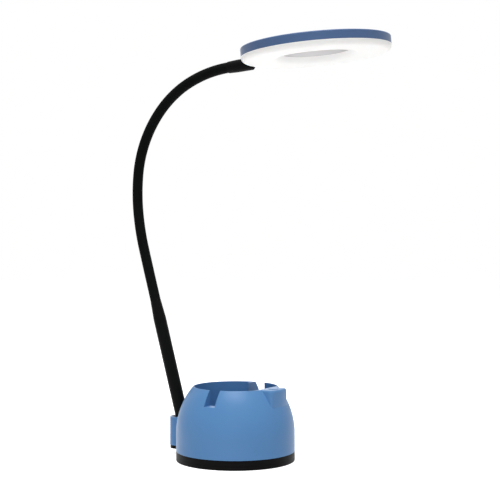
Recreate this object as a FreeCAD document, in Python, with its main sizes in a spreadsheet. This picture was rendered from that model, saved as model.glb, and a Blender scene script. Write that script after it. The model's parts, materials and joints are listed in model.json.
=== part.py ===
import FreeCAD, Part
import math
import os
from types import SimpleNamespace

import Sketcher
from FreeCAD import Placement, Rotation, Vector

# Desk lamp: a domed organiser cup on a weighted base, a bendable arm and a ring head.
# Millimetres and degrees. +Z is up, the origin is on the floor under the cup's axis,
# the arm stands at the back (+Y) and the button is at the front (-Y).

os.makedirs("parts", exist_ok=True)
doc = FreeCAD.newDocument("organiser_lamp")

# Driving sizes: name, value, meaning.
DRIVING_SIZES = (
    # base pan, pad and weight
    ("base_radius", 70.0, "outer radius of the base"),
    ("foot_gap", 0.3, "height of the pan's underside above the floor"),
    ("pan_height", 11.5, "top of the pan's visible ring"),
    ("pan_bevel", 0.4, "bevel round the pan's lower edge"),
    ("pan_floor", 3.1, "thickness of the pan's floor"),
    ("pan_wall", 1.8, "thickness of the pan's upright lip"),
    ("pan_lip", 1.6, "height of the lip inside the shell"),
    ("pad_inset", 8.0, "inset of the rubber pad from the base's side"),
    ("pad_height", 1.8, "height of the rubber pad"),
    ("weight_gap", 2.0, "gap between the steel plate and the pan's lip"),
    ("weight_thickness", 6.0, "thickness of the steel plate"),
    # base shell
    ("shell_wall", 2.4, "wall of the shell"),
    ("straight_top", 32.0, "height where the side starts to curve in"),
    ("rim_inset", 20.0, "distance of the rim inside the base's side"),
    ("rim_height", 87.0, "height of the cup's rim and of the deck"),
    ("rim_round", 0.5, "rounding of the rim's edges"),
    ("deck_thickness", 2.2, "thickness of the deck"),
    ("rim_wall", 1.09, "wall between the cup and the side at the rim"),
    ("cup_wall", 1.8, "wall of the cup"),
    ("cup_floor_top", 16.0, "height of the cup's floor"),
    ("cup_floor", 2.0, "thickness of the cup's floor"),
    ("chord_depth", 7.0, "depth that the cup's flat front wall cuts off the cup"),
    ("notch_width", 13.8, "width of a rim notch"),
    ("notch_shift", 3.9, "distance of the notches in front of the axis"),
    ("notch_depth", 17.8, "depth of a rim notch"),
    ("rib_length", 15.0, "length of the rib beside the right notch"),
    ("rib_thickness", 2.0, "thickness of that rib"),
    ("boss_width", 35.2, "width of the squared boss"),
    ("boss_reach", 12.6, "distance of the boss's face in front of the rim"),
    ("boss_height", 27.0, "height of the boss below the deck"),
    ("boss_corner", 4.0, "rounding of the boss's upright corners"),
    ("boss_edge", 3.0, "rounding of the boss's top edges"),
    # screws of the base
    ("screw_post_radius", 4.0, "radius of the shell's screw posts"),
    ("screw_post_merge", 0.7, "depth to which those posts run into the cup's wall"),
    ("screw_post_height", 34.0, "height of the shell's screw posts"),
    ("screw_pad_radius", 5.0, "radius of the pan's screw pads"),
    ("screw_pad_height", 2.0, "height of the pan's screw pads"),
    ("screw_radius", 1.4, "radius of a screw's shank"),
    ("screw_head_radius", 2.6, "radius of a screw's head"),
    ("screw_head_height", 1.8, "height of a screw's head"),
    ("screw_grip", 12.0, "length of a screw in its post"),
    # arm socket
    ("socket_radius", 14.0, "radius of the arm socket"),
    ("socket_reach", 8.3, "distance of the socket's axis outside the base's side"),
    ("socket_bottom", 11.4, "height of the socket's underside"),
    ("socket_top", 45.5, "height of the socket's top"),
    ("cap_thickness", 4.0, "thickness of the cap under the socket"),
    ("cap_inset", 0.4, "inset of the cap from the socket's side"),
    ("bush_inset", 2.4, "inset of the bush in the socket's top from its side"),
    ("bush_height", 5.0, "height of that bush"),
    ("socket_screw_height", 16.2, "height of the socket's screws"),
    ("socket_screw_spacing", 14.0, "distance between the socket's screws"),
    ("set_screw_height", 30.0, "height of the stem's set screw"),
    ("set_screw_radius", 2.0, "radius of the set screw"),
    ("set_screw_sink", 0.8, "depth of the set screw below the socket's side"),
    # stem and flexible arm
    ("stem_shift", 0.7, "distance of the stem in front of the socket's axis at its top"),
    ("stem_lean", 16.0, "backward lean of the stem"),
    ("stem_radius", 7.8, "radius of the stem"),
    ("stem_wall", 1.4, "wall of the stem"),
    ("stem_length", 121.0, "length of the stem above the socket"),
    ("stem_insert", 26.0, "length of the stem in the socket"),
    ("collar_length", 24.0, "length of the taper above the stem"),
    ("collar_plug", 12.0, "length of the collar's plug in the stem"),
    ("collar_edge", 0.15, "step from the collar to the sleeve"),
    ("sleeve_radius", 6.3, "radius of the arm's sleeve"),
    ("core_radius", 3.7, "radius of the arm's core"),
    ("core_bore", 2.0, "radius of the core's bore"),
    ("core_root", 30.0, "length of the core in the stem and collar"),
    ("first_link", 21.0, "length of the first link above the collar"),
    ("link_length", 46.5, "length of each further link"),
    ("last_link", 45.4, "length of the last link, with the ferrule"),
    ("arm_angle", 102.9, "angle through which the whole arm turns as it stands"),
    ("bend_angle", 20.0, "largest angle at one joint"),
    ("heel_inset", 0.25, "inset of a link's round heel from its sleeve"),
    ("ball_gap", 0.3, "gap between a heel and its seat"),
    # neck and head
    ("ferrule_wall", 0.85, "wall of the neck ferrule round the sleeve"),
    ("ferrule_length", 32.0, "length of the neck ferrule"),
    ("ferrule_taper", 12.0, "length of the taper at the ferrule's rear"),
    ("ferrule_edge", 0.35, "wall at the thin end of that taper"),
    ("ferrule_web", 5.0, "thickness of the ferrule's front web"),
    ("neck_drop", 1.6, "depth of the neck's axis below the head's band"),
    ("spigot_root", 2.4, "length of the spigot's root in the head"),
    ("neck_spigot_radius", 4.4, "radius of the tongue's spigot"),
    ("neck_screw_radius", 1.6, "radius of the neck screw"),
    ("neck_screw_brim", 0.8, "width by which the neck screw's head stands out round the spigot"),
    ("neck_screw_head_height", 1.6, "height of the neck screw's head"),
    ("neck_screw_length", 6.5, "length of the neck screw in the spigot"),
    ("head_roll_angle", 3.8, "roll of the head about the neck as it stands"),
    ("head_radius", 85.2, "outer radius of the head"),
    ("band_height", 9.9, "height of the head's side band"),
    ("head_wall", 1.8, "wall of the head's band"),
    ("head_top", 2.0, "thickness of the head's top"),
    ("head_round", 1.5, "rounding of the head's top edge"),
    ("ring_width", 46.3, "width of the head's ring, from the hole to its side"),
    ("inner_wall", 1.2, "wall of the ring round the hole"),
    ("lip_width", 3.0, "width of that ring's lip on the top"),
    ("lip_height", 0.8, "height of that lip"),
    ("diffuser_drop", 6.5, "depth of the diffuser below the band"),
    ("diffuser_wall", 1.6, "wall of the diffuser"),
    ("diffuser_edge", 2.0, "height of the diffuser's edges inside the head"),
    ("diffuser_lip", 0.4, "height of the diffuser's lip under the head's band"),
    ("diffuser_outer_run", 6.4, "width of the curve from the diffuser's flat to the head's side"),
    ("diffuser_inner_run", 12.6, "width of the curve from the hole to the diffuser's flat"),
    ("led_board_inner_gap", 8.1, "distance from the hole to the light board"),
    ("led_board_outer_gap", 15.2, "distance from the head's side to the light board"),
    ("led_board_thickness", 1.6, "thickness of the light board"),
    ("led_length", 3.5, "length of one light"),
    ("led_width", 2.8, "width of one light"),
    ("led_height", 0.9, "height of one light"),
    ("reflector_thickness", 0.6, "thickness of the reflector"),
    ("reflector_hole", 2.6, "radius of a hole for one light"),
    ("tongue_width", 22.0, "width of the tongue in the head"),
    ("tongue_length", 10.0, "length of the tongue in the head"),
    ("tongue_height", 5.5, "height of the tongue in the head"),
    ("tongue_screw_spacing", 15.0, "distance between the tongue's screws"),
    ("tongue_screw_radius", 1.0, "radius of the tongue's screws"),
    # button and control board
    ("button_radius", 5.9, "radius of the button"),
    ("button_proud", 0.5, "height of the button above the deck"),
    ("button_travel", 0.6, "travel of the button"),
    ("button_flange", 1.1, "width of the button's flange"),
    ("flange_height", 1.4, "height of the button's flange"),
    ("button_stem_radius", 1.7, "radius of the button's stem"),
    ("button_stem_length", 1.6, "length of the button's stem"),
    ("switch_width", 6.2, "width of the switch"),
    ("board_end_gap", 1.7, "gap beside each end of the control board"),
    ("board_side_gap", 2.7, "gap beside each side of the control board"),
    ("board_thickness", 1.6, "thickness of the control board"),
    ("board_post_length", 6.2, "length of the posts under the deck"),
    ("board_post_radius", 2.3, "radius of those posts"),
    ("board_screw_inset", 3.0, "distance of the board's screws from its ends"),
    ("board_screw_radius", 0.9, "radius of the board's screws"),
    ("board_screw_head_radius", 1.9, "radius of their heads"),
    ("board_screw_head_height", 1.2, "height of their heads"),
    ("board_screw_grip", 4.0, "length of a board screw in its post"),
    # power inlet and the wire inside the base
    ("inlet_angle", 28.0, "angle of the inlet from the back, towards +X"),
    ("inlet_height", 22.0, "height of the inlet's axis"),
    ("inlet_radius", 5.6, "radius of the inlet's body"),
    ("inlet_length", 13.0, "length of the inlet's body inside the flange"),
    ("inlet_flange_radius", 7.2, "radius of the inlet's flange"),
    ("inlet_flange_height", 2.0, "thickness of the inlet's flange"),
    ("inlet_proud", 1.0, "height of the flange above the shell"),
    ("inlet_bore", 3.2, "radius of the inlet's bore"),
    ("inlet_bore_depth", 10.5, "depth of the inlet's bore"),
    ("inlet_pin_radius", 1.0, "radius of the inlet's pin"),
    ("wire_radius", 1.3, "radius of the wire inside the base"),
    ("wire_gap", 0.7, "gap between that wire and the screw posts"),
    # fits
    ("fit_gap", 0.3, "clearance of a moving or loose fit"),
    ("close_gap", 0.1, "clearance of a close fit"),
    ("overrun", 2.0, "length by which a cut runs past its piece"),
)

# Share of the arm's turn that each link holds as the arm stands, from the stem to the neck.
LINK_TURN_SHARES = (0.005, 0.092, 0.117, 0.191, 0.191, 0.202, 0.161, 0.041)

FULL_TURN = 360.0
POLE = 90.0
LED_COUNT = 24
CORNER_ANGLES = (45.0, 135.0, 225.0, 315.0)

UP = Vector(0, 0, 1)
RIGHT = Vector(1, 0, 0)
BACK = Vector(0, 1, 0)

sheet = doc.addObject("Spreadsheet::Sheet", "Sizes")
for row, (alias, value, meaning) in enumerate(DRIVING_SIZES, start=1):
    sheet.set(f"A{row}", meaning)
    sheet.set(f"B{row}", str(value))
    sheet.setAlias(f"B{row}", alias)
doc.recompute()


class Size:
    """A size: its value, and the expression that binds a property to the sheet."""

    def __init__(self, value, text):
        self.value = value
        self.text = text

    def __add__(self, other):
        return Size(self.value + other.value, f"({self.text} + {other.text})")

    def __sub__(self, other):
        return Size(self.value - other.value, f"({self.text} - {other.text})")

    def __mul__(self, other):
        if isinstance(other, Size):
            return Size(self.value * other.value, f"({self.text} * {other.text})")
        return Size(self.value * other, f"({self.text} * {other})")

    def __truediv__(self, other):
        if isinstance(other, Size):
            return Size(self.value / other.value, f"({self.text} / {other.text})")
        return Size(self.value / other, f"({self.text} / {other})")

    def __neg__(self):
        return Size(-self.value, f"(0 - {self.text})")


def root(size):
    return Size(math.sqrt(size.value), f"sqrt({size.text})")


ZERO = Size(0.0, "0")
s = SimpleNamespace(**{alias: Size(getattr(sheet, alias), f"Sizes.{alias}")
                       for alias, _, _ in DRIVING_SIZES})


def arc_radius(run, rise):
    """Radius of an arc that starts upright and comes in by a run over a rise."""
    return (run * run + rise * rise) / (run * 2)


def dome_radius_at(height, inset):
    """Radius of the side, or of a surface inset from it, at a height above its straight part."""
    curve = s.dome_radius - inset
    rise = height - s.straight_top
    return s.base_radius - s.dome_radius + root(curve * curve - rise * rise)


# Sizes that follow from others

s.pad_radius = s.base_radius - s.pad_inset
s.pan_lip_radius = s.base_radius - s.shell_wall - s.fit_gap
s.weight_radius = s.pan_lip_radius - s.pan_wall - s.weight_gap
s.rim_radius = s.base_radius - s.rim_inset
s.dome_radius = arc_radius(s.rim_inset, s.rim_height - s.straight_top)
s.under_deck = s.rim_height - s.deck_thickness
s.notch_front = -s.notch_shift - s.notch_width / 2
s.notch_bottom = s.rim_height - s.notch_depth
s.cup_radius = s.rim_radius - s.rim_wall
s.chord_offset = s.cup_radius - s.chord_depth
s.boss_radius = s.rim_radius + s.boss_reach
s.screw_circle = s.cup_radius + s.cup_wall + s.screw_post_radius - s.screw_post_merge
s.socket_offset = s.base_radius + s.socket_reach
s.bush_radius = s.socket_radius - s.bush_inset
s.stem_offset = s.socket_offset - s.stem_shift
s.ferrule_radius = s.sleeve_radius + s.fit_gap + s.ferrule_wall
s.neck_screw_head_radius = s.neck_spigot_radius + s.neck_screw_brim
s.neck_height = s.diffuser_drop - s.neck_drop
s.head_height = s.diffuser_drop + s.band_height
s.head_ceiling = s.head_height - s.head_top
s.light_board_bottom = s.head_ceiling - s.led_board_thickness
s.hole_radius = s.head_radius - s.ring_width
s.ring_outer = s.hole_radius + s.inner_wall
s.diffuser_outer = s.head_radius - s.head_wall - s.fit_gap
s.tongue_end = s.diffuser_outer - s.diffuser_wall - s.close_gap
s.tongue_front = s.tongue_end - s.tongue_length
s.spigot_start = s.tongue_end - s.spigot_root
s.ferrule_start = s.head_radius + s.close_gap
s.spigot_end = s.ferrule_start + s.ferrule_web
s.tongue_bottom = s.head_ceiling - s.tongue_height
s.flat_outer = s.head_radius - s.diffuser_outer_run
s.flat_inner = s.hole_radius + s.diffuser_inner_run
s.led_board_inner = s.hole_radius + s.led_board_inner_gap
s.led_board_outer = s.head_radius - s.led_board_outer_gap
s.led_circle = (s.led_board_inner + s.led_board_outer) / 2
s.boss_room_front = s.boss_radius - s.shell_wall
s.boss_room_back = s.chord_offset + s.cup_wall
s.button_offset = (s.boss_room_front + s.boss_room_back) / 2
s.board_length = s.boss_width - (s.shell_wall + s.board_end_gap) * 2
s.board_width = s.boss_room_front - s.boss_room_back - s.board_side_gap * 2
s.board_screw_spacing = s.board_length - s.board_screw_inset * 2
s.wire_circle = s.screw_circle + s.screw_post_radius + s.wire_radius + s.wire_gap

nodes = {}


def node(label, thing):
    """Names a finished sub-part, which is written to its own file."""
    thing.Label = label
    nodes[label] = thing
    return thing


# Primitives, booleans and turned bodies


def move_to(thing, x, y, z):
    for axis, size in zip("xyz", (x, y, z)):
        thing.setExpression(f"Placement.Base.{axis}", size.text)


def block(name, length, width, height, x, y, z):
    """A box from its lowest corner."""
    thing = doc.addObject("Part::Box", name)
    for prop, size in (("Length", length), ("Width", width), ("Height", height)):
        thing.setExpression(prop, size.text)
    move_to(thing, x, y, z)
    return thing


def centred_block(name, length, width, height, x, y, z):
    """A box whose base is centred on x and y."""
    return block(name, length, width, height, x - length / 2, y - width / 2, z)


def rod(name, radius, height, x=ZERO, y=ZERO, z=ZERO):
    """An upright cylinder."""
    thing = doc.addObject("Part::Cylinder", name)
    thing.setExpression("Radius", radius.text)
    thing.setExpression("Height", height.text)
    move_to(thing, x, y, z)
    return thing


def aimed_rod(name, radius, height, foot, direction):
    """A cylinder from a point along a direction."""
    thing = doc.addObject("Part::Cylinder", name)
    thing.setExpression("Radius", radius.text)
    thing.setExpression("Height", height.text)
    thing.Placement = Placement(foot, Rotation(UP, direction))
    return thing


def aimed_cone(name, start_radius, end_radius, height, foot, direction):
    thing = doc.addObject("Part::Cone", name)
    thing.setExpression("Radius1", start_radius.text)
    thing.setExpression("Radius2", end_radius.text)
    thing.setExpression("Height", height.text)
    thing.Placement = Placement(foot, Rotation(UP, direction))
    return thing


def join(name, things):
    if len(things) == 1:
        return things[0]
    thing = doc.addObject("Part::MultiFuse", name)
    thing.Shapes = things
    return thing


def overlap(name, things):
    thing = doc.addObject("Part::MultiCommon", name)
    thing.Shapes = things
    return thing


def carve(name, base, tools):
    thing = doc.addObject("Part::Cut", name)
    thing.Base = base
    thing.Tool = join(name + "_tools", tools)
    return thing


def round_edges(name, base, radius, wanted):
    """Rounds the edges of a shape for which wanted(edge) holds."""
    doc.recompute()
    numbers = [i for i, edge in enumerate(base.Shape.Edges, start=1) if wanted(edge)]
    thing = doc.addObject("Part::Fillet", name)
    thing.Base = base
    thing.Edges = [(i, radius.value, radius.value) for i in numbers]
    return thing


def around(radius, degrees):
    """The x and y sizes of a point at an angle from +X."""
    angle = math.radians(degrees)
    return (Size(radius.value * math.cos(angle), f"({radius.text} * cos({degrees}))"),
            Size(radius.value * math.sin(angle), f"({radius.text} * sin({degrees}))"))


def side_curve(start, end, radius, outward):
    """The arc between two points of a sketch, and which of its ends the sketch meets first."""
    middle = (start + end) * 0.5
    along = end - start
    half = along.Length / 2
    normal = Vector(along.y, -along.x, 0).normalize() * outward
    centre = middle - normal * math.sqrt(radius * radius - half * half)
    arc = Part.Arc(start, centre + normal * radius, end)
    return arc, (1, 2) if outward > 0 else (2, 1)


def turned(name, corners, curves=None):
    """A body turned about the upright axis.

    corners are (radius, height) sizes in order. curves gives the radius of each curved side
    and 1 or -1 for a curve that bulges to the right or the left of its direction.
    """
    curves = curves or {}
    body = doc.addObject("PartDesign::Body", name)
    sketch = body.newObject("Sketcher::SketchObject", name + "_profile")
    plane = next(p for p in body.Origin.OriginFeatures if p.Role == "XZ_Plane")
    sketch.AttachmentSupport = [(plane, "")]
    sketch.MapMode = "FlatFace"
    points = [Vector(radius.value, height.value, 0) for radius, height in corners]
    count = len(points)
    ends = []
    for i, start in enumerate(points):
        end = points[(i + 1) % count]
        if i in curves:
            radius, outward = curves[i]
            line, order = side_curve(start, end, radius.value, outward)
        else:
            line, order = Part.LineSegment(start, end), (1, 2)
        sketch.addGeometry(line)
        ends.append(order)
    for i in range(count):
        following = (i + 1) % count
        sketch.addConstraint(Sketcher.Constraint("Coincident", i, ends[i][1], following, ends[following][0]))
    for i, (radius, height) in enumerate(corners):
        vertex = (i, ends[i][0])
        for kind, size, axis in (("DistanceX", radius, -2), ("DistanceY", height, -1)):
            if size is ZERO:
                sketch.addConstraint(Sketcher.Constraint("PointOnObject", *vertex, axis))
                continue
            index = sketch.addConstraint(Sketcher.Constraint(kind, -1, 1, *vertex, size.value))
            sketch.setExpression(f"Constraints[{index}]", size.text)
    for i, (radius, _) in curves.items():
        index = sketch.addConstraint(Sketcher.Constraint("Radius", i, radius.value))
        sketch.setExpression(f"Constraints[{index}]", radius.text)
    turn = body.newObject("PartDesign::Revolution", name + "_turn")
    turn.Profile = sketch
    turn.ReferenceAxis = (sketch, ["V_Axis"])
    body.Tip = turn
    return body


# Base pan, pad and weight


def base_bottom():
    floor_top = s.foot_gap + s.pan_floor
    lip_top = s.pan_height + s.pan_lip
    pan = turned("pan_body", [
        (ZERO, s.foot_gap),
        (s.base_radius - s.pan_bevel, s.foot_gap),
        (s.base_radius, s.foot_gap + s.pan_bevel),
        (s.base_radius, s.pan_height),
        (s.pan_lip_radius, s.pan_height),
        (s.pan_lip_radius, lip_top),
        (s.pan_lip_radius - s.pan_wall, lip_top),
        (s.pan_lip_radius - s.pan_wall, floor_top),
        (ZERO, floor_top),
    ])
    pads, pan_cuts, plate_cuts, screws = [pan], [], [], []
    pad_top = floor_top + s.screw_pad_height
    head_seat = s.pad_height + s.close_gap + s.screw_head_height
    for i, degrees in enumerate(CORNER_ANGLES):
        corner = around(s.screw_circle, degrees)
        pads.append(rod(f"pan_pad_{i}", s.screw_pad_radius, pad_top - s.foot_gap, *corner, s.foot_gap))
        pan_cuts.append(rod(f"pan_screw_hole_{i}", s.screw_radius + s.fit_gap, pad_top + s.overrun, *corner))
        pan_cuts.append(rod(f"pan_screw_recess_{i}", s.screw_head_radius + s.fit_gap, head_seat, *corner))
        plate_cuts.append(rod(f"plate_hole_{i}", s.screw_pad_radius + s.fit_gap,
                              floor_top + s.weight_thickness + s.overrun, *corner))
        head = rod(f"base_screw_head_{i}", s.screw_head_radius, s.screw_head_height, *corner,
                   head_seat - s.screw_head_height)
        shank = rod(f"base_screw_shank_{i}", s.screw_radius, pad_top + s.screw_grip - head_seat, *corner,
                    head_seat)
        screws.append(join(f"base_screw_{i}", [head, shank]))
    pan_cuts.append(rod("pad_pocket", s.pad_radius + s.close_gap, s.pad_height))
    node("base_pan", carve("pan_cut", join("pan_with_pads", pads), pan_cuts))
    node("base_pad", rod("pad_disc", s.pad_radius, s.pad_height))
    plate = rod("weight_disc", s.weight_radius, s.weight_thickness, ZERO, ZERO, floor_top)
    node("weight_plate", carve("weight_cut", plate, plate_cuts))
    node("base_screws", join("base_screw_group", screws))


# Base shell


def dome(name, inset, bottom, top):
    """The solid inside the base's side, inset by a wall or grown by a gap."""
    side = s.base_radius - inset
    return turned(name, [
        (ZERO, bottom),
        (side, bottom),
        (side, s.straight_top),
        (dome_radius_at(top, inset), top),
        (ZERO, top),
    ], {2: (s.dome_radius - inset, 1)})


def cup_form(name, radius, front, bottom, top):
    """A round cup with a flat front wall."""
    tube = rod(name + "_round", radius, top - bottom, ZERO, ZERO, bottom)
    behind = block(name + "_front", radius * 2, radius + front, top - bottom, -radius, -front, bottom)
    return overlap(name, [tube, behind])


def boss_form(name, inset, bottom, top):
    """The squared boss, or the hollow in it."""
    width = s.boss_width - inset * 2
    reach = s.boss_radius - inset
    tube = rod(name + "_round", reach, top - bottom, ZERO, ZERO, bottom)
    slab = block(name + "_slab", width, reach - s.chord_offset, top - bottom, -width / 2, -reach, bottom)
    return overlap(name, [tube, slab])


def boss_edge(edge):
    """True for the boss's upright outer corners."""
    box = edge.BoundBox
    return box.ZLength > s.boss_height.value / 2 and box.YMax < -s.screw_circle.value


def boss_top(edge):
    """True for the edges round the boss's top, but not along the deck."""
    box = edge.BoundBox
    on_top = box.ZMin > s.rim_height.value - s.close_gap.value
    return on_top and box.YMin < -s.chord_offset.value - s.close_gap.value


def rim_edge(edge):
    """True for the sharp edges of the cup's rim and of the deck beside it."""
    box = edge.BoundBox
    if box.ZLength > s.close_gap.value or abs(box.ZMax - s.rim_height.value) > s.close_gap.value:
        return False
    middle = edge.valueAt((edge.FirstParameter + edge.LastParameter) / 2)
    reach = math.hypot(middle.x, middle.y)
    on_cup = abs(reach - s.cup_radius.value) < s.close_gap.value
    on_side = abs(reach - s.rim_radius.value) < s.close_gap.value
    on_chord = abs(middle.y + s.chord_offset.value) < s.close_gap.value
    return on_cup or on_side or on_chord


def shell_outside():
    boss = boss_form("boss", ZERO, s.rim_height - s.boss_height, s.rim_height)
    boss = round_edges("boss_corners", boss, s.boss_corner, boss_edge)
    boss = round_edges("boss_edges", boss, s.boss_edge, boss_top)
    return join("shell_outside", [dome("side", ZERO, s.pan_height, s.rim_height), boss])


def notches():
    """The walls beside the two notches, and the notches themselves."""
    reach = s.base_radius - s.cup_radius + s.cup_wall
    walls, gaps = [], []
    for side, x in (("left", -s.base_radius), ("right", s.cup_radius - s.cup_wall)):
        walls.append(block(f"notch_walls_{side}", reach, s.notch_width + s.shell_wall * 2,
                           s.notch_depth + s.shell_wall, x, s.notch_front - s.shell_wall,
                           s.notch_bottom - s.shell_wall))
        gaps.append(block(f"notch_{side}", reach, s.notch_width, s.notch_depth + s.overrun,
                          x, s.notch_front, s.notch_bottom))
    return walls, gaps


def board_posts():
    """The posts under the deck for the control board, and the holes for its screws."""
    bottom = s.under_deck - s.board_post_length
    posts, holes = [], []
    for i, side in enumerate((-1, 1)):
        x = s.board_screw_spacing * side / 2
        posts.append(rod(f"board_post_{i}", s.board_post_radius, s.board_post_length,
                         x, -s.button_offset, bottom))
        holes.append(rod(f"board_post_hole_{i}", s.board_screw_radius, s.board_screw_grip + s.close_gap,
                         x, -s.button_offset, bottom))
    return posts, holes


def shell_hollow(kept):
    """The room between the shell's side and the cup, less the walls and posts in it."""
    room = join("hollow_room", [
        dome("side_inside", s.shell_wall, s.pan_height - s.overrun, s.under_deck),
        boss_form("boss_inside", s.shell_wall, s.pan_height, s.under_deck),
    ])
    cup = cup_form("cup_outside", s.cup_radius + s.cup_wall, s.boss_room_back,
                   s.cup_floor_top - s.cup_floor, s.rim_height)
    return carve("hollow", room, [cup] + kept)


def cup_cavity():
    """The inside of the cup, with its rib left standing."""
    top = s.rim_height + s.overrun
    cavity = cup_form("cup_inside", s.cup_radius, s.chord_offset, s.cup_floor_top, top)
    rib = block("rib", s.rib_length + s.overrun, s.rib_thickness, top,
                s.cup_radius - s.rib_length, s.notch_front + s.notch_width, ZERO)
    return carve("cup_cavity", cavity, [rib])


def socket_screw_holes():
    start = s.base_radius - s.shell_wall - s.overrun
    holes = []
    for i, side in enumerate((-1, 1)):
        across = s.socket_screw_spacing.value * side / 2
        place = Vector(across, start.value, s.socket_screw_height.value)
        holes.append(aimed_rod(f"socket_screw_hole_{i}", s.screw_radius + s.close_gap,
                               s.shell_wall + s.overrun * 2, place, BACK))
    return holes


def screw_posts():
    """The posts that take the base's screws, and their holes."""
    foot = s.foot_gap + s.pan_floor + s.screw_pad_height + s.close_gap
    posts, holes = [], []
    for i, degrees in enumerate(CORNER_ANGLES):
        corner = around(s.screw_circle, degrees)
        posts.append(rod(f"screw_post_{i}", s.screw_post_radius, s.screw_post_height, *corner, foot))
        holes.append(rod(f"screw_post_hole_{i}", s.screw_radius, s.screw_grip + s.fit_gap, *corner, foot))
    cup = cup_form("cup_for_posts", s.cup_radius + s.cup_wall / 2, s.chord_offset, s.cup_floor_top,
                   s.rim_height)
    return carve("posts_outside_cup", join("posts", posts), [cup]), holes


def base_shell():
    walls, gaps = notches()
    posts_for_board, holes_for_board = board_posts()
    button_hole = rod("button_hole", s.button_radius + s.fit_gap, s.deck_thickness + s.overrun * 2, ZERO,
                      -s.button_offset, s.under_deck - s.overrun)
    stem_passage = stem_rod("stem_passage", s.stem_radius + s.fit_gap, s.stem_insert + s.fit_gap,
                            s.stem_insert)
    cuts = [shell_hollow(walls + posts_for_board), cup_cavity(), button_hole, stem_passage]
    cuts += gaps + holes_for_board + inlet_room() + socket_screw_holes()
    body = carve("shell_cut", shell_outside(), cuts)
    posts, post_holes = screw_posts()
    body = carve("shell_with_posts", join("shell_and_posts", [body, posts]), post_holes)
    node("base_shell", round_edges("shell_rounded", body, s.rim_round, rim_edge))


# Arm socket and stem


def stem_direction():
    lean = math.radians(s.stem_lean.value)
    return Vector(0, math.sin(lean), math.cos(lean))


def stem_point(distance):
    """A point on the stem's axis, by its distance along it from the socket's top."""
    return Vector(0, s.stem_offset.value, s.socket_top.value) + stem_direction() * distance.value


def stem_rod(name, radius, below, length):
    """A cylinder along the stem that starts below the socket's top."""
    return aimed_rod(name, radius, length, stem_point(-below), stem_direction())


def socket_screw_pair():
    """The screws that hold the socket on the shell, and their threads in the socket."""
    wall_inside = (s.base_radius - s.shell_wall).value
    screws, threads = [], []
    for i, side in enumerate((-1, 1)):
        across = s.socket_screw_spacing.value * side / 2
        reach = abs(across) + s.screw_head_radius.value
        seat = math.sqrt(wall_inside ** 2 - reach ** 2) - s.close_gap.value
        foot = Vector(across, seat, s.socket_screw_height.value)
        threads.append(aimed_rod(f"socket_thread_{i}", s.screw_radius, s.shell_wall * 2 + s.screw_grip,
                                 foot, BACK))
        screws.append(join(f"socket_screw_{i}", [
            aimed_rod(f"socket_screw_head_{i}", s.screw_head_radius, s.screw_head_height,
                      foot - BACK * s.screw_head_height.value, BACK),
            aimed_rod(f"socket_screw_shank_{i}", s.screw_radius, s.shell_wall + s.screw_grip, foot, BACK),
        ]))
    return screws, threads


def stem_screw():
    """The screw that holds the stem in the socket, and its hole."""
    lean = math.radians(s.stem_lean.value)
    screw_top = s.set_screw_height.value + s.set_screw_radius.value
    stem_there = s.stem_offset.value - (s.socket_top.value - screw_top) * math.tan(lean)
    stem_side = s.stem_radius.value / math.cos(lean) + s.close_gap.value
    tip = Vector(0, stem_there + stem_side, s.set_screw_height.value)
    screw = doc.addObject("Part::Cylinder", "set_screw_body")
    screw.setExpression("Radius", s.set_screw_radius.text)
    screw.Height = (s.socket_offset + s.socket_radius - s.set_screw_sink).value - tip.y
    screw.Placement = Placement(tip, Rotation(UP, BACK))
    return screw, aimed_rod("set_screw_hole", s.set_screw_radius, s.socket_radius * 2, tip, BACK)


def arm_socket():
    bush_bottom = s.socket_top - s.bush_height
    dome_top = s.socket_top + s.overrun
    screws, threads = socket_screw_pair()
    set_screw, set_screw_hole = stem_screw()
    column = rod("socket_column", s.socket_radius, s.socket_top - s.socket_bottom, ZERO, s.socket_offset,
                 s.socket_bottom)
    cuts = [
        dome("base_in_socket", -s.close_gap, ZERO, dome_top),
        stem_rod("socket_bore", s.stem_radius + s.close_gap, s.stem_insert + s.fit_gap, s.stem_insert * 2),
        rod("bush_room", s.bush_radius + s.close_gap, s.bush_height + s.overrun, ZERO, s.socket_offset,
            bush_bottom),
        set_screw_hole,
    ]
    node("arm_socket", carve("socket_cut", column, cuts + threads))
    bush = rod("bush_disc", s.bush_radius, s.bush_height, ZERO, s.socket_offset, bush_bottom)
    node("socket_bush", carve("bush_cut", bush, [
        dome("base_in_bush", -s.close_gap, ZERO, dome_top),
        stem_rod("bush_bore", s.stem_radius + s.close_gap, s.stem_insert, s.stem_insert * 2),
    ]))
    cap = rod("cap_disc", s.socket_radius - s.cap_inset, s.cap_thickness, ZERO, s.socket_offset,
              s.socket_bottom - s.cap_thickness)
    base_room = rod("base_in_cap", s.base_radius + s.close_gap, s.socket_bottom + s.overrun)
    node("socket_cap", carve("cap_cut", cap, [base_room]))
    node("socket_screws", join("socket_screw_group", screws))
    node("set_screw", set_screw)


def stem():
    total = s.stem_insert + s.stem_length
    outside = stem_rod("stem_outside", s.stem_radius, s.stem_insert, total)
    bore = stem_rod("stem_bore", s.stem_radius - s.stem_wall, s.stem_insert + s.overrun,
                    total + s.overrun * 2)
    node("stem_tube", carve("stem_cut", outside, [bore]))
    top = stem_point(s.stem_length)
    collar = join("collar_outside", [
        aimed_cone("collar_taper", s.stem_radius, s.sleeve_radius + s.collar_edge, s.collar_length, top,
                   stem_direction()),
        aimed_rod("collar_in_stem", s.stem_radius - s.stem_wall - s.close_gap, s.collar_plug + s.close_gap,
                  top - stem_direction() * s.collar_plug.value, stem_direction()),
    ])
    bore_length = s.collar_plug + s.collar_length + s.overrun * 2
    bore_foot = top - stem_direction() * (s.collar_plug + s.overrun).value
    node("stem_collar", carve("collar_cut", collar, [
        aimed_rod("collar_bore", s.core_radius + s.close_gap, bore_length, bore_foot, stem_direction())]))


# Flexible arm: links that meet at ball joints


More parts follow.
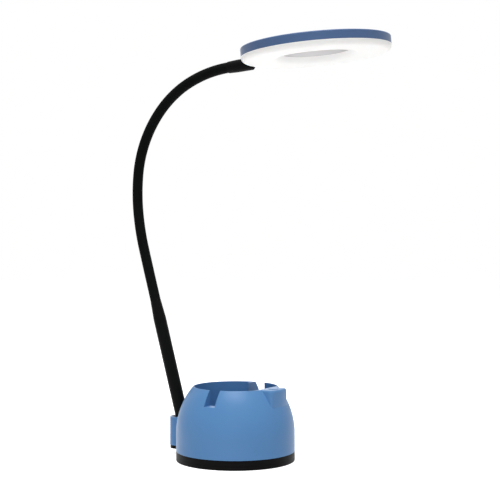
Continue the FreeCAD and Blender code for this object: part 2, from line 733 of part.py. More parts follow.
def arm_frames():
    """Start point, direction, turn and length of each link, and last the ferrule's rear end."""
    lean = -s.stem_lean.value
    place = stem_point(s.stem_length + s.collar_length)
    frames = []
    turns = [0.0] + [s.arm_angle.value * share for share in LINK_TURN_SHARES]
    lengths = [s.first_link.value] + [s.link_length.value] * len(LINK_TURN_SHARES)
    lengths[-1] = (s.last_link - s.ferrule_length).value
    for turn, length in zip(turns, lengths):
        frames.append((place, arm_heading(lean), turn, length))
        place = place + link_offset(lean, turn, length)
        lean += turn
    frames.append((place, arm_heading(lean), 0.0, 0.0))
    return frames


def arm_heading(lean):
    """Direction of the arm that leans forward by an angle from upright."""
    angle = math.radians(lean)
    return Vector(0, -math.sin(angle), math.cos(angle))


def link_offset(lean, turn, length):
    """Step from a link's start to its end."""
    if turn == 0.0:
        return arm_heading(lean) * length
    radius = length / math.radians(turn)
    start, end = math.radians(lean), math.radians(lean + turn)
    return Vector(0, math.cos(end) - math.cos(start), math.sin(end) - math.sin(start)) * radius


def tube_along(place, heading, turn, length, outer, inner):
    """A straight or curved tube."""
    ring = Part.Face(Part.Wire(Part.makeCircle(outer, place, heading)))
    ring = ring.cut(Part.Face(Part.Wire(Part.makeCircle(inner, place, heading)))).Faces[0]
    if turn == 0.0:
        return ring.extrude(heading * length)
    towards_centre = Vector(0, -heading.z, heading.y)
    centre = place + towards_centre * (length / math.radians(turn))
    return ring.revolve(centre, RIGHT, turn)


def heel(place, heading, outer, inner):
    """The round end of a link, below its joint."""
    radius = s.sleeve_radius.value - s.heel_inset.value
    ball = Part.makeSphere(radius, place, heading, -POLE, 0, FULL_TURN)
    foot = place - heading * radius
    bore = Part.makeCylinder(inner, radius, foot, heading)
    return ball.common(Part.makeCylinder(outer, radius, foot, heading).cut(bore))


def seat_cut(place, heading):
    """Room for the next link's heel at the end of a link, with its rim drawn back for the bend."""
    radius = s.sleeve_radius.value - s.heel_inset.value + s.ball_gap.value
    back = s.sleeve_radius.value * math.sin(math.radians(s.bend_angle.value)) + s.ball_gap.value
    ball = Part.makeSphere(radius, place, heading, -POLE, POLE, FULL_TURN)
    disc = Part.makeCylinder(s.sleeve_radius.value * 2, back * 2, place - heading * back, heading)
    return ball.fuse(disc)


def arm_link(label, frames, i, outer, inner, root_length=0.0):
    """One link's tube. The first starts in the collar, the last ends straight in the ferrule."""
    place, heading, turn, length = frames[i]
    shape = tube_along(place, heading, turn, length, outer, inner)
    if i > 0:
        shape = shape.fuse(heel(place, heading, outer, inner))
    elif root_length:
        foot = place - heading * root_length
        shape = shape.fuse(tube_along(foot, heading, 0.0, root_length, outer, inner))
    end_place, end_heading = frames[i + 1][:2]
    if i < len(frames) - 2:
        shape = shape.cut(seat_cut(end_place, end_heading))
    else:
        web = s.ferrule_web + s.close_gap + s.neck_screw_head_height
        tail = (s.ferrule_length - web - s.fit_gap).value
        shape = shape.fuse(tube_along(end_place, end_heading, 0.0, tail, outer, inner))
    shape = shape.removeSplitter()
    thing = doc.addObject("Part::Feature", label)
    thing.Shape = shape.Solids[0] if len(shape.Solids) == 1 else shape
    return node(label, thing)


def flexible_arm():
    sleeve, core, bore = s.sleeve_radius.value, s.core_radius.value, s.core_bore.value
    room = core + s.close_gap.value
    frames = arm_frames()
    for i in range(len(frames) - 1):
        arm_link(f"arm_sleeve_{i + 1}", frames, i, sleeve, room)
        arm_link(f"arm_core_{i + 1}", frames, i, core, bore, s.core_root.value)
    return frames[-1]


# Neck and head. The head's own frame has its axis upright, the diffuser's flat at height 0
# and the neck on its +Y side.


def head_placement(neck):
    """Where the head stands: its neck axis on the arm's end, rolled about it."""
    place, heading = neck[:2]
    upright = heading.cross(RIGHT) * -1
    roll = Rotation(heading, s.head_roll_angle.value)
    turn = roll.multiply(Rotation(RIGHT, heading * -1, upright, "XYZ"))
    seat = Vector(0, (s.ferrule_start + s.ferrule_length).value, s.neck_height.value)
    return Placement(place - turn.multVec(seat), turn)


def neck_rod(name, radius, start, length):
    """A cylinder along the neck in the head's frame, from a distance off the head's axis outwards."""
    foot = Vector(0, start.value, s.neck_height.value)
    return aimed_rod(name, radius, length, foot, BACK)


def place_in_head(label, thing, placement):
    """Stands a piece made in the head's own frame where the head is."""
    doc.recompute()
    moved = doc.addObject("Part::Feature", label)
    moved.Shape = thing.Shape.copy()
    moved.Placement = placement.multiply(thing.Placement)
    return node(label, moved)


def diffuser_profile():
    """The domed ring: a flat, a curve up to each edge, and the same curves inset by its wall.

    On the outside a lip reaches under the head's band.
    """
    level = s.diffuser_drop
    lip_top = level - s.close_gap
    lip_bottom = lip_top - s.diffuser_lip
    outer = s.diffuser_outer
    inner = s.ring_outer + s.close_gap
    wall = s.diffuser_wall
    top = level + s.diffuser_edge
    run_out = s.head_radius - s.flat_outer
    run_in = s.flat_inner - inner
    curve_out = arc_radius(lip_bottom, run_out)
    curve_in = arc_radius(level, run_in)
    inset_out = outer - wall - s.flat_outer
    inset_level = curve_out - root((curve_out - wall) * (curve_out - wall) - inset_out * inset_out)
    rise_in = curve_in - level
    inset_in = root((curve_in - wall) * (curve_in - wall) - rise_in * rise_in)
    corners = [
        (inner, top),
        (inner, level),
        (s.flat_inner, ZERO),
        (s.flat_outer, ZERO),
        (s.head_radius, lip_bottom),
        (s.head_radius, lip_top),
        (outer, lip_top),
        (outer, top),
        (outer - wall, top),
        (outer - wall, inset_level),
        (s.flat_outer, wall),
        (s.flat_inner, wall),
        (s.flat_inner - inset_in, level),
        (s.flat_inner - inset_in, top),
    ]
    curves = {1: (curve_in, 1), 3: (curve_out, 1), 9: (curve_out - wall, -1), 11: (curve_in - wall, -1)}
    return corners, curves


def spigot_room(name):
    """Room for the tongue's spigot in the head's shell or in the diffuser."""
    return neck_rod(name, s.neck_spigot_radius + s.close_gap, s.spigot_start - s.fit_gap, s.ferrule_length)


def head_shell(screw_holes):
    cover = turned("head_cover", [
        (s.ring_outer + s.close_gap, s.head_ceiling),
        (s.head_radius - s.head_wall, s.head_ceiling),
        (s.head_radius - s.head_wall, s.diffuser_drop),
        (s.head_radius, s.diffuser_drop),
        (s.head_radius, s.head_height - s.head_round),
        (s.head_radius - s.head_round, s.head_height),
        (s.ring_outer + s.close_gap, s.head_height),
    ], {4: (s.head_round, 1)})
    return carve("head_cover_cut", cover, [spigot_room("spigot_in_shell")] + screw_holes)


def inner_ring():
    lip_outer = s.hole_radius + s.lip_width
    return turned("inner_ring_body", [
        (s.hole_radius, s.diffuser_drop),
        (s.ring_outer, s.diffuser_drop),
        (s.ring_outer, s.head_height + s.close_gap),
        (lip_outer, s.head_height + s.close_gap),
        (lip_outer, s.head_height + s.lip_height),
        (s.hole_radius, s.head_height + s.lip_height),
    ])


def tongue_screws():
    """The screws through the tongue, their holes in it, and their holes in the head's top."""
    along = s.tongue_front + s.tongue_length / 3
    hole_top = s.head_ceiling + s.head_top / 2
    screws, tongue_holes, cover_holes = [], [], []
    for i, side in enumerate((-1, 1)):
        across = s.tongue_screw_spacing * side / 2
        tongue_holes.append(rod(f"tongue_hole_{i}", s.tongue_screw_radius + s.close_gap, s.head_height,
                                across, along))
        cover_holes.append(rod(f"cover_hole_{i}", s.tongue_screw_radius, hole_top, across, along))
        screws.append(join(f"head_screw_{i}", [
            rod(f"head_screw_head_{i}", s.tongue_screw_radius * 2, s.tongue_screw_radius, across, along,
                s.tongue_bottom - s.tongue_screw_radius),
            rod(f"head_screw_shank_{i}", s.tongue_screw_radius, hole_top - s.tongue_bottom, across, along,
                s.tongue_bottom),
        ]))
    return screws, tongue_holes, cover_holes


def neck_tongue(screw_holes):
    """A bar in the head's rim with a round spigot that stands out into the ferrule."""
    bar = centred_block("tongue_bar", s.tongue_width, s.tongue_length, s.tongue_height, ZERO,
                        s.tongue_front + s.tongue_length / 2, s.tongue_bottom)
    limit = rod("tongue_limit", s.head_radius - s.head_wall - s.close_gap, s.head_height)
    bar = overlap("tongue_bar_trimmed", [bar, limit])
    drop_height = s.tongue_bottom + s.tongue_height / 2 - s.neck_height
    drop = centred_block("tongue_drop", s.neck_spigot_radius * 2, s.spigot_root, drop_height, ZERO,
                         s.spigot_start + s.spigot_root / 2, s.neck_height)
    spigot = neck_rod("tongue_spigot", s.neck_spigot_radius, s.spigot_start, s.spigot_end - s.spigot_start)
    screw_hole = neck_rod("neck_screw_hole", s.neck_screw_radius, s.spigot_end - s.neck_screw_length,
                          s.neck_screw_length + s.overrun)
    return carve("tongue_cut", join("tongue_solid", [bar, drop, spigot]), screw_holes + [screw_hole])


def neck_screw():
    foot = s.spigot_end + s.close_gap
    return join("neck_screw_body", [
        neck_rod("neck_screw_head", s.neck_screw_head_radius, foot, s.neck_screw_head_height),
        neck_rod("neck_screw_shank", s.neck_screw_radius, foot - s.neck_screw_length, s.neck_screw_length),
    ])


def neck_ferrule():
    """A sleeve round the arm's end with a web in front and a taper at its rear."""
    straight = s.ferrule_length - s.ferrule_taper
    taper_foot = Vector(0, (s.ferrule_start + straight).value, s.neck_height.value)
    outside = join("ferrule_outside", [
        neck_rod("ferrule_straight", s.ferrule_radius, s.ferrule_start, straight),
        aimed_cone("ferrule_taper_cone", s.ferrule_radius, s.sleeve_radius + s.fit_gap + s.ferrule_edge,
                   s.ferrule_taper, taper_foot, BACK),
    ])
    return carve("ferrule_cut", outside, [
        neck_rod("ferrule_bore", s.sleeve_radius + s.fit_gap, s.spigot_end, s.ferrule_length),
        neck_rod("ferrule_spigot_hole", s.neck_spigot_radius + s.close_gap, s.ferrule_start - s.overrun,
                 s.ferrule_length),
    ])


def light_ring(name, bottom, top):
    """A flat ring of the light board's width."""
    return turned(name, [
        (s.led_board_inner, bottom),
        (s.led_board_outer, bottom),
        (s.led_board_outer, top),
        (s.led_board_inner, top),
    ])


def lights_and_holes():
    """The lights under their board, and a hole in the reflector for each."""
    corner = Vector((s.led_circle - s.led_length / 2).value, -s.led_width.value / 2,
                    (s.light_board_bottom - s.led_height).value)
    lights, holes = [], []
    for i in range(LED_COUNT):
        degrees = FULL_TURN * i / LED_COUNT
        light = doc.addObject("Part::Box", f"led_{i}")
        for prop, size in (("Length", s.led_length), ("Width", s.led_width), ("Height", s.led_height)):
            light.setExpression(prop, size.text)
        turn = Placement(Vector(0, 0, 0), Rotation(UP, degrees))
        light.Placement = turn.multiply(Placement(corner, Rotation()))
        lights.append(light)
        holes.append(rod(f"light_hole_{i}", s.reflector_hole, s.head_ceiling, *around(s.led_circle, degrees)))
    return lights, holes


def head(neck):
    placement = head_placement(neck)
    screws, tongue_holes, cover_holes = tongue_screws()
    lights, light_holes = lights_and_holes()
    diffuser = turned("diffuser_ring", *diffuser_profile())
    board_bottom = s.light_board_bottom
    reflector = light_ring("reflector_ring", board_bottom - s.reflector_thickness, board_bottom)
    pieces = {
        "head_shell": head_shell(cover_holes),
        "diffuser": carve("diffuser_cut", diffuser, [spigot_room("spigot_in_diffuser")]),
        "inner_ring": inner_ring(),
        "neck_tongue": neck_tongue(tongue_holes),
        "neck_ferrule": neck_ferrule(),
        "neck_screw": neck_screw(),
        "head_screws": join("head_screw_group", screws),
        "led_board": light_ring("led_board_ring", board_bottom, s.head_ceiling),
        "reflector": carve("reflector_cut", reflector, light_holes),
        "leds": join("led_group", lights),
    }
    for label, thing in pieces.items():
        place_in_head(label, thing, placement)


# Button, control board, inlet and the wire between them


def dimmer_button(flange_bottom):
    y = -s.button_offset
    cap_height = s.rim_height + s.button_proud - flange_bottom
    node("dimmer_button", join("button_solid", [
        rod("button_cap", s.button_radius, cap_height, ZERO, y, flange_bottom),
        rod("button_flange_disc", s.button_radius + s.button_flange, s.flange_height, ZERO, y, flange_bottom),
        rod("button_stem", s.button_stem_radius, s.button_stem_length + s.overrun, ZERO, y,
            flange_bottom - s.button_stem_length),
    ]))


def dimmer_switch(flange_bottom, board_top):
    y = -s.button_offset
    height = flange_bottom - s.button_travel - s.fit_gap - board_top
    recess_bottom = flange_bottom - s.button_stem_length - s.button_travel - s.fit_gap
    switch = centred_block("switch_body", s.switch_width, s.switch_width, height, ZERO, y, board_top)
    node("dimmer_switch", carve("switch_cut", switch, [
        rod("switch_recess", s.button_stem_radius + s.fit_gap, s.board_post_length, ZERO, y, recess_bottom)]))


def control_board(board_bottom):
    y = -s.button_offset
    board = centred_block("board_slab", s.board_length, s.board_width, s.board_thickness, ZERO, y,
                          board_bottom)
    holes, screws = [], []
    for i, side in enumerate((-1, 1)):
        x = s.board_screw_spacing * side / 2
        holes.append(rod(f"board_hole_{i}", s.board_screw_radius + s.close_gap,
                         s.board_thickness + s.overrun, x, y, board_bottom - s.overrun / 2))
        screws.append(join(f"board_screw_{i}", [
            rod(f"board_screw_head_{i}", s.board_screw_head_radius, s.board_screw_head_height, x, y,
                board_bottom - s.board_screw_head_height),
            rod(f"board_screw_shank_{i}", s.board_screw_radius, s.board_thickness + s.board_screw_grip, x, y,
                board_bottom),
        ]))
    node("control_board", carve("board_cut", board, holes))
    node("board_screws", join("board_screw_group", screws))


def controls():
    """The button, its switch and the control board. Returns the board's lower side."""
    board_top = s.under_deck - s.board_post_length
    board_bottom = board_top - s.board_thickness
    flange_bottom = s.under_deck - s.close_gap - s.flange_height
    dimmer_button(flange_bottom)
    dimmer_switch(flange_bottom, board_top)
    control_board(board_bottom)
    return board_bottom


def inlet_direction():
    angle = math.radians(s.inlet_angle.value)
    return Vector(math.sin(angle), math.cos(angle), 0)


def inlet_rod(name, radius, start, length):
    """A cylinder along the inlet's axis, from a distance off the base's axis outwards."""
    foot = inlet_direction() * start.value + UP * s.inlet_height.value
    return aimed_rod(name, radius, length, foot, inlet_direction())


def inlet_flange_start():
    return s.base_radius + s.inlet_proud - s.inlet_flange_height


def inlet_room():
    """The hole and the recess in the shell for the inlet."""
    start = inlet_flange_start()
    hole = inlet_rod("inlet_hole", s.inlet_radius + s.close_gap, start - s.inlet_length,
                     s.inlet_length + s.overrun)
    recess = inlet_rod("inlet_recess", s.inlet_flange_radius + s.close_gap, start,
                       s.inlet_flange_height + s.overrun)
    return [hole, recess]


def power_inlet():
    start = inlet_flange_start()
    mouth = start + s.inlet_flange_height
    bore_bottom = mouth - s.inlet_bore_depth
    body = join("inlet_solid", [
        inlet_rod("inlet_body", s.inlet_radius, start - s.inlet_length, s.inlet_length),
        inlet_rod("inlet_flange", s.inlet_flange_radius, start, s.inlet_flange_height),
    ])
    bore = inlet_rod("inlet_bore_tool", s.inlet_bore, bore_bottom, s.inlet_bore_depth + s.overrun)
    pin = inlet_rod("inlet_pin", s.inlet_pin_radius, bore_bottom - s.overrun,
                    s.inlet_bore_depth + s.overrun - s.inlet_flange_height / 2)
    node("power_inlet", join("inlet_with_pin", [carve("inlet_cut", body, [bore]), pin]))


def base_wire(board_bottom):
    """The lead inside the base: round the cup from the inlet's side, then up to the control board."""
    radius, circle = s.wire_radius.value, s.wire_circle.value
    height = s.inlet_height.value
    beside_inlet = math.degrees(math.asin((s.inlet_radius + s.close_gap).value / circle))
    end_x = (s.board_screw_spacing / 4).value
    corner = Vector(end_x, -math.sqrt(circle * circle - end_x * end_x), height)
    turn = math.degrees(inlet_direction().getAngle(Vector(corner.x, corner.y, 0))) - beside_inlet
    ring = Part.Face(Part.Wire(Part.makeCircle(radius, corner, Vector(-corner.y, corner.x, 0))))
    around = ring.revolve(Vector(0, 0, height), UP, turn)
    under_board = Vector(end_x, -s.button_offset.value - s.board_width.value / 4,
                         board_bottom.value - s.close_gap.value)
    rise = under_board - corner
    climb = Part.makeCylinder(radius, rise.Length, corner, rise)
    level = Part.makeBox(circle * 2, circle * 2, circle, Vector(-circle, -circle * 2, under_board.z))
    shape = around.fuse([Part.makeSphere(radius, corner), climb]).cut(level)
    thing = doc.addObject("Part::Feature", "base_wire")
    thing.Shape = shape.removeSplitter()
    node("base_wire", thing)


base_bottom()
base_shell()
arm_socket()
stem()
neck = flexible_arm()
head(neck)
board_bottom = controls()
power_inlet()
base_wire(board_bottom)
doc.recompute()

for thing in doc.Objects:
    if "Invalid" in thing.State or "Error" in thing.State:
        raise SystemExit(f"{thing.Name} failed: {thing.State}")
for label, thing in nodes.items():
    shape = thing.Shape
    if shape.isNull() or not shape.isValid() or not shape.Solids:
        raise SystemExit(f"{label} has no valid solid")

frames = arm_frames()
for i, (place, heading, _, _) in enumerate(frames):
    print(f"joint {i}: {place.x:.3f} {place.y:.3f} {place.z:.3f} along {heading.y:.5f} {heading.z:.5f}")
for label, thing in nodes.items():
    thing.Shape.exportStep(f"parts/{label}.step")
print(len(nodes), "nodes written")
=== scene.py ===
import json
import math

import bmesh
import bpy
from mathutils import Matrix, Vector

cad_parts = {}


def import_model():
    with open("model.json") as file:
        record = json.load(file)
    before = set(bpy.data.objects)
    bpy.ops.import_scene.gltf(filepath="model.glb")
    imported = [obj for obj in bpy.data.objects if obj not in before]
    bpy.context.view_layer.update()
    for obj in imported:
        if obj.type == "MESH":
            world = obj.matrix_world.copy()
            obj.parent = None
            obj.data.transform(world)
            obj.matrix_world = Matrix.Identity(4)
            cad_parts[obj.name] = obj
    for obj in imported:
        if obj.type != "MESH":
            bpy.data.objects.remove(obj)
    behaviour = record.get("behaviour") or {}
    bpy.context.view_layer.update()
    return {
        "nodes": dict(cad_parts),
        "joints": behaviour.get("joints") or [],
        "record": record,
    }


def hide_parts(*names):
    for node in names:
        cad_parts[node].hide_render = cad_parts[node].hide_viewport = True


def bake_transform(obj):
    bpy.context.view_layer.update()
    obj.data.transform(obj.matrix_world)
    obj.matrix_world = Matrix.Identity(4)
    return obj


# Desk lamp with a round organiser base, in metres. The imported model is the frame,
# and this file adds the finish, the smooth arm and the light.

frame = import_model()
nodes = frame["nodes"]
joints = {joint["name"]: joint for joint in frame["joints"]}

MM = 0.001
WHITE = (1, 1, 1, 1)
CREASE_ANGLE = 30.0

CAMERA_AZIMUTH = -57.8
CAMERA_DISTANCE = 1.3216
CAMERA_ASIDE = 0.0171
CAMERA_HEIGHT = 0.2475
CAMERA_LENS = 80.6
CAMERA_SENSOR = 36.0
CAMERA_REACH = 100.0

WORLD_LIGHT = 0.16
FLOOR_RADIUS = 8.0
FLOOR_SIDES = 96
FLOOR_LIFT = 0.85

STEM_LEAN = 16.0
SLEEVE_RADIUS = 6.3 * MM
CORE_RADIUS = 3.7 * MM
SLEEVE_INSIDE = CORE_RADIUS + 0.6 * MM
SLEEVE_STEP = 1.5 * MM
SLEEVE_SIDES = 48
STRAIGHT_ENOUGH = 1e-6
SIDEWAYS = Vector((1, 0, 0))
NECK_JOINT = "neck_twist"
ARM_JOINTS = [
    "arm_bend_1",
    "arm_side_2",
    "arm_bend_3",
    "arm_bend_4",
    "arm_side_5",
    "arm_bend_6",
    "arm_bend_7",
    "arm_bend_8",
]


def srgb(red, green, blue):
    """A colour as a screen shows it, 0 to 255, as the linear values that a shader takes."""
    def linear(value):
        share = value / 255
        return share / 12.92 if share <= 0.04045 else ((share + 0.055) / 1.055) ** 2.4
    return linear(red), linear(green), linear(blue), 1.0


# Materials

class Shader:
    """A material that is being built from nodes."""

    def __init__(self, name):
        self.material = bpy.data.materials.new(name)
        self.material.use_nodes = True
        self.tree = self.material.node_tree
        self.bsdf = self.tree.nodes["Principled BSDF"]
        self.output = self.tree.nodes["Material Output"]

    def node(self, kind, **settings):
        made = self.tree.nodes.new(kind)
        for name, value in settings.items():
            setattr(made, name, value)
        return made

    def link(self, start, end):
        self.tree.links.new(start, end)

    def set(self, **values):
        for name, value in values.items():
            self.bsdf.inputs[name.replace("_", " ")].default_value = value

    def noise(self, scale, detail):
        made = self.node("ShaderNodeTexNoise")
        made.inputs["Scale"].default_value = scale
        made.inputs["Detail"].default_value = detail
        self.link(self.node("ShaderNodeTexCoord").outputs["Object"], made.inputs["Vector"])
        return made.outputs["Fac"]

    def remap(self, value, old, new):
        """A value moved from one range to another, each given by its two ends."""
        made = self.node("ShaderNodeMapRange")
        for name, number in zip(("From Min", "From Max", "To Min", "To Max"), old + new):
            made.inputs[name].default_value = number
        self.link(value, made.inputs["Value"])
        return made.outputs["Result"]

    def shades(self, first, second, scale, detail=2.0, between=(0.35, 0.65)):
        """Colours the surface with two shades that drift into each other."""
        mixed = self.node("ShaderNodeMix", data_type="RGBA")
        share = self.remap(self.noise(scale, detail), between, (0.0, 1.0))
        self.link(share, mixed.inputs["Factor"])
        for name, colour in (("A", first), ("B", second)):
            socket = [s for s in mixed.inputs if s.name == name and s.type == "RGBA"][0]
            socket.default_value = colour
        result = [s for s in mixed.outputs if s.type == "RGBA"][0]
        self.link(result, self.bsdf.inputs["Base Color"])

    def uneven_gloss(self, low, high, scale, detail=3.0):
        """Lets the roughness drift between two values."""
        roughness = self.remap(self.noise(scale, detail), (0.3, 0.7), (low, high))
        self.link(roughness, self.bsdf.inputs["Roughness"])

    def grain(self, scale, strength, depth, detail=2.0):
        """Gives the surface a fine grain."""
        made = self.node("ShaderNodeBump")
        made.inputs["Strength"].default_value = strength
        made.inputs["Distance"].default_value = depth
        self.link(self.noise(scale, detail), made.inputs["Height"])
        self.link(made.outputs["Normal"], self.bsdf.inputs["Normal"])


def moulded_plastic(name, colour, shade, roughness, grain=2600.0):
    """Moulded plastic: a faint drift of colour, a fine spark-eroded grain and uneven gloss."""
    made = Shader(name)
    made.shades(colour, shade, scale=9.0)
    made.uneven_gloss(roughness - 0.015, roughness + 0.02, scale=40.0, detail=2.0)
    made.grain(scale=grain, strength=0.12, depth=0.06 * MM)
    return made


def blue_plastic(name, colour, shade):
    made = moulded_plastic(name, colour, shade, roughness=0.36)
    made.set(Specular_IOR_Level=0.22)
    return made.material


def black_plastic():
    made = moulded_plastic("black_plastic", srgb(15, 15, 15), srgb(11, 11, 11), roughness=0.42)
    made.set(Specular_IOR_Level=0.04)
    return made.material


def stem_paint():
    """Black powder coat: a fine orange peel over the steel tube."""
    made = Shader("stem_paint")
    made.shades(srgb(11, 12, 12), srgb(15, 16, 16), scale=14.0)
    made.uneven_gloss(0.3, 0.38, scale=90.0)
    made.grain(scale=900.0, strength=0.12, depth=0.05 * MM)
    made.set(Specular_IOR_Level=0.04)
    return made.material


def sleeve_rubber():
    """Silicone sleeve: matte black with a soft bloom."""
    made = Shader("sleeve_rubber")
    made.shades(srgb(10, 11, 11), srgb(14, 15, 15), scale=30.0, detail=3.0)
    made.uneven_gloss(0.58, 0.7, scale=160.0)
    made.grain(scale=2200.0, strength=0.15, depth=0.05 * MM)
    made.set(Specular_IOR_Level=0.03)
    return made.material


def rubber(name):
    """Dark grey rubber with a coarse grain."""
    made = Shader(name)
    made.shades(srgb(30, 30, 31), srgb(42, 42, 43), scale=60.0, detail=4.0, between=(0.3, 0.7))
    made.grain(scale=700.0, strength=0.3, depth=0.2 * MM, detail=3.0)
    made.set(Roughness=0.85)
    return made.material


def steel(name, colour, roughness, darkening=0.8):
    """Plated steel with fine turned marks."""
    made = Shader(name)
    darker = tuple(value * darkening for value in colour[:3]) + (1.0,)
    made.shades(colour, darker, scale=400.0, detail=4.0, between=(0.3, 0.7))
    made.uneven_gloss(roughness - 0.06, roughness + 0.08, scale=900.0)
    made.set(Metallic=1.0)
    return made.material


def diffuser_white():
    """Opal plastic with a faint glow, which is painted light that lifts the downward-facing diffuser to
    white.
    """
    made = Shader("diffuser_white")
    made.shades(srgb(238, 237, 236), srgb(232, 231, 230), scale=24.0)
    made.grain(scale=1500.0, strength=0.05, depth=0.05 * MM)
    made.set(Roughness=0.42, Subsurface_Weight=0.15, Subsurface_Scale=2 * MM)
    # Painted light: a glow that makes the underside read white.
    made.set(Emission_Color=srgb(255, 254, 250), Emission_Strength=0.23)
    return made.material


def ring_white():
    return moulded_plastic("ring_white", srgb(222, 220, 221), srgb(216, 214, 215), roughness=0.5).material


def light_board():
    return moulded_plastic("light_board", srgb(225, 226, 224), srgb(216, 217, 215), roughness=0.5).material


def light_yellow():
    return moulded_plastic("light_yellow", srgb(240, 214, 96), srgb(232, 204, 84), roughness=0.3).material


def board_green():
    made = moulded_plastic("board_green", srgb(24, 92, 52), srgb(18, 80, 44), roughness=0.4, grain=900.0)
    return made.material


MATERIALS = {
    "blue_plastic": blue_plastic("blue_plastic", srgb(90, 139, 191), srgb(86, 135, 187)),
    "black_plastic": black_plastic(),
    "stem_paint": stem_paint(),
    "sleeve_rubber": sleeve_rubber(),
    "core_steel": steel("core_steel", srgb(168, 168, 170), roughness=0.35),
    "pad_rubber": rubber("pad_rubber"),
    "wire_rubber": rubber("wire_rubber"),
    "weight_steel": steel("weight_steel", srgb(120, 120, 122), roughness=0.5),
    "screw_steel": steel("screw_steel", srgb(186, 187, 190), roughness=0.3),
    "diffuser_white": diffuser_white(),
    "ring_white": ring_white(),
    "light_board": light_board(),
    "light_yellow": light_yellow(),
    "board_green": board_green(),
}
# Painted shade: the head shell takes a darker, greyer copy of the blue plastic in place of the shade on
# its band.
PAINTED_SHADE_MATERIALS = {"head_shell": blue_plastic("head_blue_painted_shade", srgb(84, 110, 152), srgb(80, 106, 148))}


# CAD nodes that keep their shape

def smooth(mesh):
    mesh.shade_smooth()
    mesh.set_sharp_from_angle(angle=math.radians(CREASE_ANGLE))


def finish_cad_nodes():
    """Gives each node the material of its slot, or a darker copy of it with painted shade where one is
    listed.
    """
    slots = {part["node"]: part["material_slot"] for part in frame["record"]["subparts"]}
    for name, thing in nodes.items():
        thing.data.materials.clear()
        thing.data.materials.append(PAINTED_SHADE_MATERIALS.get(name, MATERIALS[slots[name]]))
        smooth(thing.data)


# The arm's sleeve, smooth from the collar to the neck

def reach(node, place, heading):
    """How far a node reaches from a place along a heading."""
    return max((vertex.co - place).dot(heading) for vertex in nodes[node].data.vertices)


def ferrule_start():
    """The point on the neck's axis where the ferrule begins."""
    place = Vector(joints[NECK_JOINT]["pos_m"])
    backwards = -Vector(joints[NECK_JOINT]["axis"])
    return place + backwards * reach("neck_ferrule", place, backwards)


def arm_points():
    """The joints' places along the arm with the heading at each, from the collar to the ferrule."""
    lean = math.radians(STEM_LEAN)
    heading = Vector((0, math.sin(lean), math.cos(lean)))
    places = [Vector(joints[name]["pos_m"]) for name in ARM_JOINTS]
    collar_end = places[0] + heading * reach("stem_collar", places[0], heading)
    knots = [(collar_end, heading), (places[0], heading)]
    for place in places[1:] + [ferrule_start()]:
        chord = (place - knots[-1][0]).normalized()
        heading = chord * (2 * chord.dot(heading)) - heading
        knots.append((place, heading))
    return knots


def arc_between(start, heading, end):
    """Points and headings along the arc that leaves start in a heading and reaches end."""
    chord = end - start
    turn = 2 * heading.angle(chord)
    steps = max(2, round(chord.length / SLEEVE_STEP))
    if turn < STRAIGHT_ENOUGH:
        return [(start.lerp(end, i / steps), heading) for i in range(steps + 1)]
    axis = heading.cross(chord).normalized()
    radius = chord.length / (2 * math.sin(turn / 2))
    centre = start + axis.cross(heading) * radius
    points = []
    for i in range(steps + 1):
        spin = Matrix.Rotation(turn * i / steps, 3, axis)
        points.append((centre + spin @ (start - centre), spin @ heading))
    return points


def add_ring(shape, place, heading, radius):
    """Vertices in a circle across a heading, counted from the arm's side."""
    across = heading.cross(SIDEWAYS)
    ring = []
    for i in range(SLEEVE_SIDES):
        angle = 2 * math.pi * i / SLEEVE_SIDES
        outwards = SIDEWAYS * math.cos(angle) + across * math.sin(angle)
        ring.append(shape.verts.new(place + outwards * radius))
    return ring


def join_rings(shape, first, second):
    """A band of faces from one ring to the next."""
    for i in range(SLEEVE_SIDES):
        following = (i + 1) % SLEEVE_SIDES
        shape.faces.new((first[i], first[following], second[following], second[i]))


def tube(name, line, outer, inner):
    """A closed tube along points with headings."""
    shape = bmesh.new()
    outside = [add_ring(shape, place, heading, outer) for place, heading in line]
    inside = [add_ring(shape, place, heading, inner) for place, heading in line]
    for rings in (outside, inside):
        for low, high in zip(rings, rings[1:]):
            join_rings(shape, low, high)
    for end in (0, -1):
        join_rings(shape, outside[end], inside[end])
    bmesh.ops.recalc_face_normals(shape, faces=shape.faces)
    mesh = bpy.data.meshes.new(name)
    shape.to_mesh(mesh)
    shape.free()
    return mesh


def add_piece(name, mesh, slot):
    smooth(mesh)
    mesh.materials.append(MATERIALS[slot])
    piece = bpy.data.objects.new(name, mesh)
    bpy.context.scene.collection.objects.link(piece)
    return piece


def arm_sleeve():
    """One piece for each joint of the arm, from the middle of one link to the middle of the next."""
    knots = arm_points()
    spans = [arc_between(start, heading, end) for (start, heading), (end, _) in zip(knots, knots[1:])]
    halves = [(span[:len(span) // 2 + 1], span[len(span) // 2:]) for span in spans]
    last = len(ARM_JOINTS) - 1
    for i in range(len(ARM_JOINTS)):
        before = spans[0] if i == 0 else halves[i][1]
        after = spans[-1] if i == last else halves[i + 1][0]
        mesh = tube(f"sleeve_{i + 1}", before + after[1:], SLEEVE_RADIUS, SLEEVE_INSIDE)
        piece = add_piece(f"sleeve_{i + 1}", mesh, "sleeve_rubber")
        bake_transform(piece)
        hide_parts(f"arm_sleeve_{i + 1}")
        if i == last:
            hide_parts(f"arm_sleeve_{i + 2}")


# Stage: floor, lamps and camera

def face(thing, direction):
    """Turns a camera or a lamp to look in a direction."""
    thing.rotation_mode = "QUATERNION"
    thing.rotation_quaternion = direction.to_track_quat("-Z", "Y")


def camera():
    azimuth = math.radians(CAMERA_AZIMUTH)
    back = Vector((math.sin(azimuth), -math.cos(azimuth), 0))
    aside = Vector((math.cos(azimuth), math.sin(azimuth), 0))
    data = bpy.data.cameras.new("camera")
    data.lens = CAMERA_LENS
    data.sensor_width = CAMERA_SENSOR
    data.clip_end = CAMERA_REACH
    thing = bpy.data.objects.new("camera", data)
    thing.location = back * CAMERA_DISTANCE + aside * CAMERA_ASIDE + Vector((0, 0, CAMERA_HEIGHT))
    face(thing, -back)
    bpy.context.scene.collection.objects.link(thing)
    bpy.context.scene.camera = thing


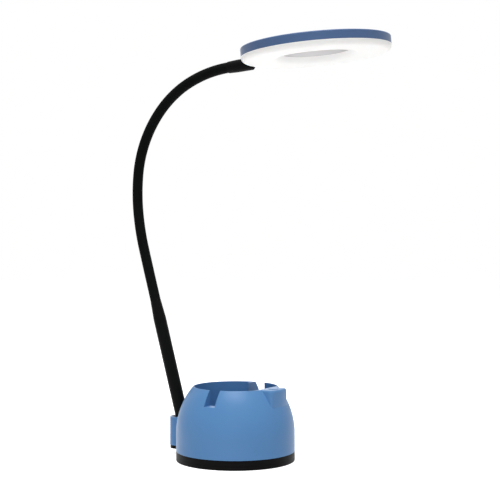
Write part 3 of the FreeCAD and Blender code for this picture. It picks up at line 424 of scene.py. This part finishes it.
def area_lamp(name, place, target, size, power, spread=180.0, shines=True):
    """A round soft lamp. One that doesn't shine lights a surface but leaves no highlight on it."""
    data = bpy.data.lights.new(name, "AREA")
    data.shape = "DISK"
    data.size = size
    data.energy = power
    data.spread = math.radians(spread)
    thing = bpy.data.objects.new(name, data)
    thing.location = place
    thing.visible_glossy = shines
    face(thing, Vector(target) - Vector(place))
    bpy.context.scene.collection.objects.link(thing)


def lamps():
    """A wide lamp high in front, a weak narrow one low in front and a weak one behind."""
    area_lamp("key_lamp", place=(-0.52, -0.33, 2.15), target=(0, 0, 0.1), size=1.4, power=47)
    area_lamp("fill_lamp", place=(-1.6, -1.0, 0.32), target=(0, 0, 0.05), size=0.9, power=0.22,
              spread=24.0, shines=False)
    area_lamp("back_lamp", place=(1.27, 0.8, 0.8), target=(0, 0, 0.09), size=1.0, power=3)


def seen_as_white(tree):
    """A value of 1 for rays from the camera, and for glossy and transmitted rays."""
    path = tree.nodes.new("ShaderNodeLightPath")
    total = path.outputs["Is Camera Ray"]
    for name in ("Is Glossy Ray", "Is Transmission Ray"):
        add = tree.nodes.new("ShaderNodeMath")
        add.operation = "MAXIMUM"
        tree.links.new(total, add.inputs[0])
        tree.links.new(path.outputs[name], add.inputs[1])
        total = add.outputs[0]
    return total


def world():
    """Soft light from all round, which looks white itself."""
    made = bpy.data.worlds.new("studio")
    made.use_nodes = True
    tree = made.node_tree
    background = tree.nodes["Background"]
    background.inputs["Color"].default_value = WHITE
    strength = tree.nodes.new("ShaderNodeMapRange")
    strength.inputs["To Min"].default_value = WORLD_LIGHT
    strength.inputs["To Max"].default_value = 1.0
    tree.links.new(seen_as_white(tree), strength.inputs["Value"])
    tree.links.new(strength.outputs["Result"], background.inputs["Strength"])
    bpy.context.scene.world = made


def floor_white():
    """A pale surface, lifted to white where the lamp doesn't shade it."""
    made = Shader("floor")
    made.set(Roughness=0.9, Specular_IOR_Level=0.1)
    made.shades(srgb(236, 236, 236), srgb(232, 232, 232), scale=3.0, between=(0.3, 0.7))
    emission = made.node("ShaderNodeEmission")
    lift = made.node("ShaderNodeMath", operation="MULTIPLY")
    lift.inputs[1].default_value = FLOOR_LIFT
    made.link(seen_as_white(made.tree), lift.inputs[0])
    made.link(lift.outputs[0], emission.inputs["Strength"])
    both = made.node("ShaderNodeAddShader")
    made.link(made.bsdf.outputs[0], both.inputs[0])
    made.link(emission.outputs[0], both.inputs[1])
    made.link(both.outputs[0], made.output.inputs["Surface"])
    return made.material


def floor():
    shape = bmesh.new()
    bmesh.ops.create_circle(shape, cap_ends=True, segments=FLOOR_SIDES, radius=FLOOR_RADIUS)
    mesh = bpy.data.meshes.new("floor")
    shape.to_mesh(mesh)
    shape.free()
    mesh.materials.append(floor_white())
    thing = bpy.data.objects.new("floor", mesh)
    bpy.context.scene.collection.objects.link(thing)


finish_cad_nodes()
arm_sleeve()
camera()
world()
floor()
lamps()

bpy.context.scene.view_settings.view_transform = "Standard"
